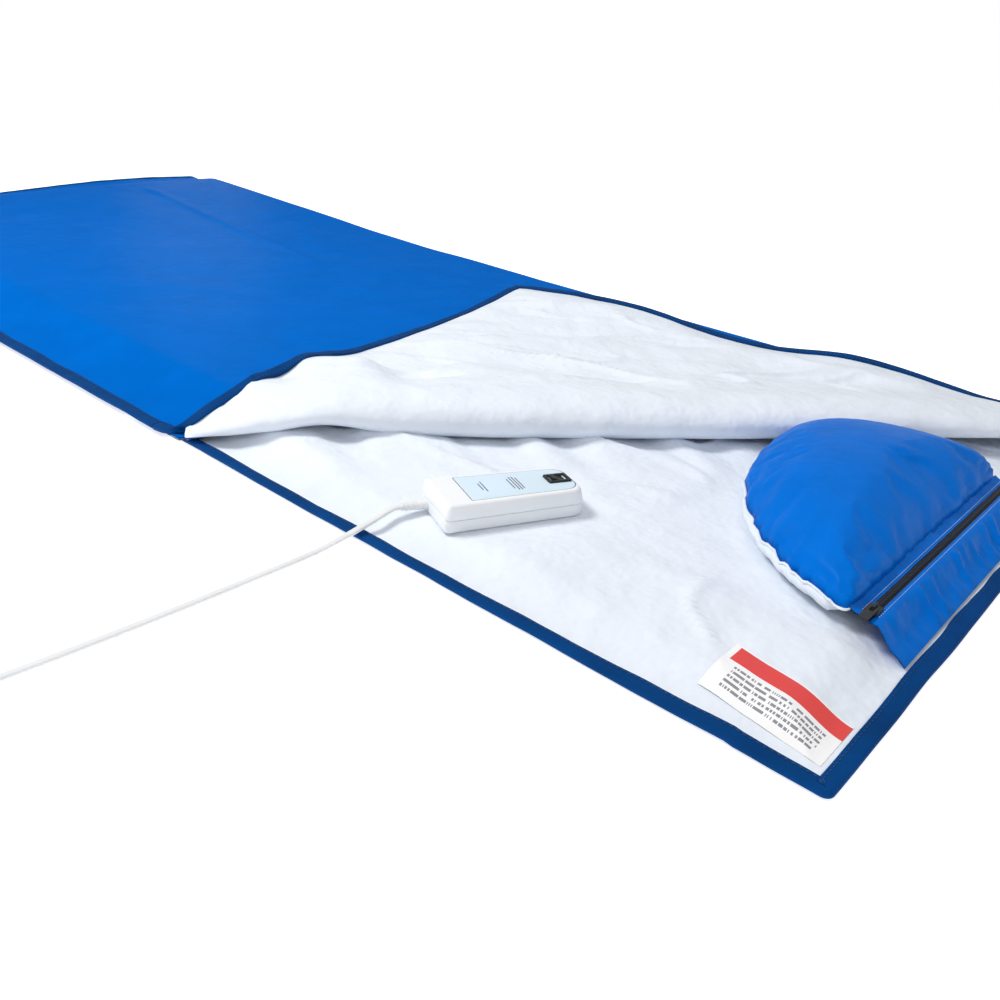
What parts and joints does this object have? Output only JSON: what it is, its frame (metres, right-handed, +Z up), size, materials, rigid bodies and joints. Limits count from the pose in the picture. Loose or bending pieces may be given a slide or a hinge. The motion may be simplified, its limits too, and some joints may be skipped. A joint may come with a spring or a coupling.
{
  "type": "infrared sauna blanket",
  "caption": "Padded thermal blanket folded along one long side, one head corner turned back, with a zipped D-shaped pillow and a wired box controller on its lining.",
  "frame": {"origin": "on the floor, under the middle of the folded quilt", "axes": "+X along the length to the head end, +Y across the width to the fold, +Z up"},
  "size_m": [1.8, 1.143, 0.076],
  "materials": {
    "outer_nylon": "semi-gloss coated nylon",
    "binding": "matt woven tape",
    "lining_nylon": "satin, crinkled",
    "felt": "matt needled felt",
    "film": "aluminised film",
    "carrier": "matt",
    "heater_cable": "silicone jacket",
    "foam": "foam",
    "zip": "moulded",
    "shell_plastic": "fine satin",
    "panel_film": "semi-gloss",
    "black_plastic": "satin",
    "board": "glass laminate",
    "steel": "zinc plated",
    "brass": "bright",
    "label": "coated cloth",
    "cord_plastic": "soft PVC"
  },
  "bodies": {
    "mat": {"mat_outer_sheet": "outer_nylon", "mat_insulation_felt": "felt", "mat_reflective_film": "film", "mat_heater_carrier": "carrier", "mat_lining": "lining_nylon", "mat_heater_cable": "heater_cable", "mat_binding_near": "binding", "mat_binding_head": "binding", "mat_binding_foot": "binding", "fold_outer_sheet": "outer_nylon", "fold_insulation_felt": "felt", "fold_lining": "lining_nylon", "care_label": "label", "controller_base_shell": "shell_plastic", "controller_top_shell": "shell_plastic", "controller_face_plate": "panel_film", "rocker_switch_frame": "black_plastic", "circuit_board": "board", "relay": "black_plastic", "terminal_block": "board", "controller_screw_1": "steel", "controller_screw_2": "steel", "controller_screw_3": "steel", "controller_screw_4": "steel", "cord_strain_relief": "cord_plastic", "heater_lead": "cord_plastic", "mains_cord_run": "cord_plastic", "mains_cord_coil": "cord_plastic", "cord_tie": "black_plastic", "mains_cord_tail": "cord_plastic", "plug_body": "cord_plastic", "plug_pin_a": "brass", "plug_pin_b": "brass"},
    "cover": {"cover_lining": "lining_nylon", "cover_outer_sheet": "outer_nylon", "cover_heater_carrier": "carrier", "cover_reflective_film": "film", "cover_insulation_felt": "felt", "cover_heater_cable": "heater_cable", "cover_binding_near": "binding", "cover_binding_foot": "binding"},
    "flap": {"flap_outer_sheet": "outer_nylon", "flap_lining": "lining_nylon", "flap_insulation_felt": "felt", "flap_binding_near": "binding", "flap_binding_head": "binding", "flap_roll_lining": "lining_nylon", "flap_roll_felt": "felt"},
    "pillow": {"pillow_top_panel": "outer_nylon", "pillow_bottom_panel": "lining_nylon", "pillow_filling": "foam", "zip_teeth_pillow_side": "zip", "zip_teeth_strip_side": "zip", "zip_tape_pillow_side": "zip", "zip_tape_strip_side": "zip", "zip_stop_far": "zip", "pillow_strip": "outer_nylon"},
    "zip_slider": {"zip_slider_body": "zip"},
    "zip_pull": {"zip_pull_tab": "zip"},
    "rocker": {"rocker_button": "black_plastic"}
  },
  "joints": [
    {"name": "cover_lift", "type": "hinge", "parent": "mat", "child": "cover", "pos_m": [0, 0.375, 0.0159], "axis": [-1, 0, 0], "range_deg": [0, 160], "deforming": ["fold_outer_sheet", "fold_insulation_felt", "fold_lining"]},
    {"name": "flap_fold", "type": "hinge", "parent": "cover", "child": "flap", "pos_m": [0.27, -0.387, 0.032], "axis": [0.6373, 0.7706, 0], "range_deg": [0, 130], "deforming": ["flap_roll_lining", "flap_roll_felt"]},
    {"name": "pillow_flip", "type": "hinge", "parent": "mat", "child": "pillow", "pos_m": [0.8834, -0.032, 0.0049], "axis": [0, 1, 0], "range_deg": [0, 135]},
    {"name": "zip_slide", "type": "slide", "parent": "pillow", "child": "zip_slider", "axis": [0, 1, 0], "range_m": [0, 0.325]},
    {"name": "zip_pull_swing", "type": "hinge", "parent": "zip_slider", "child": "zip_pull", "pos_m": [0.8495, -0.2005, 0.03049], "axis": [-1, 0, 0], "range_deg": [0, 130]},
    {"name": "rocker_tilt", "type": "hinge", "parent": "mat", "child": "rocker", "pos_m": [0.58315, -0.22017, 0.035], "axis": [-0.9092, 0.4163, 0], "range_deg": [0, 14]}
  ]
}
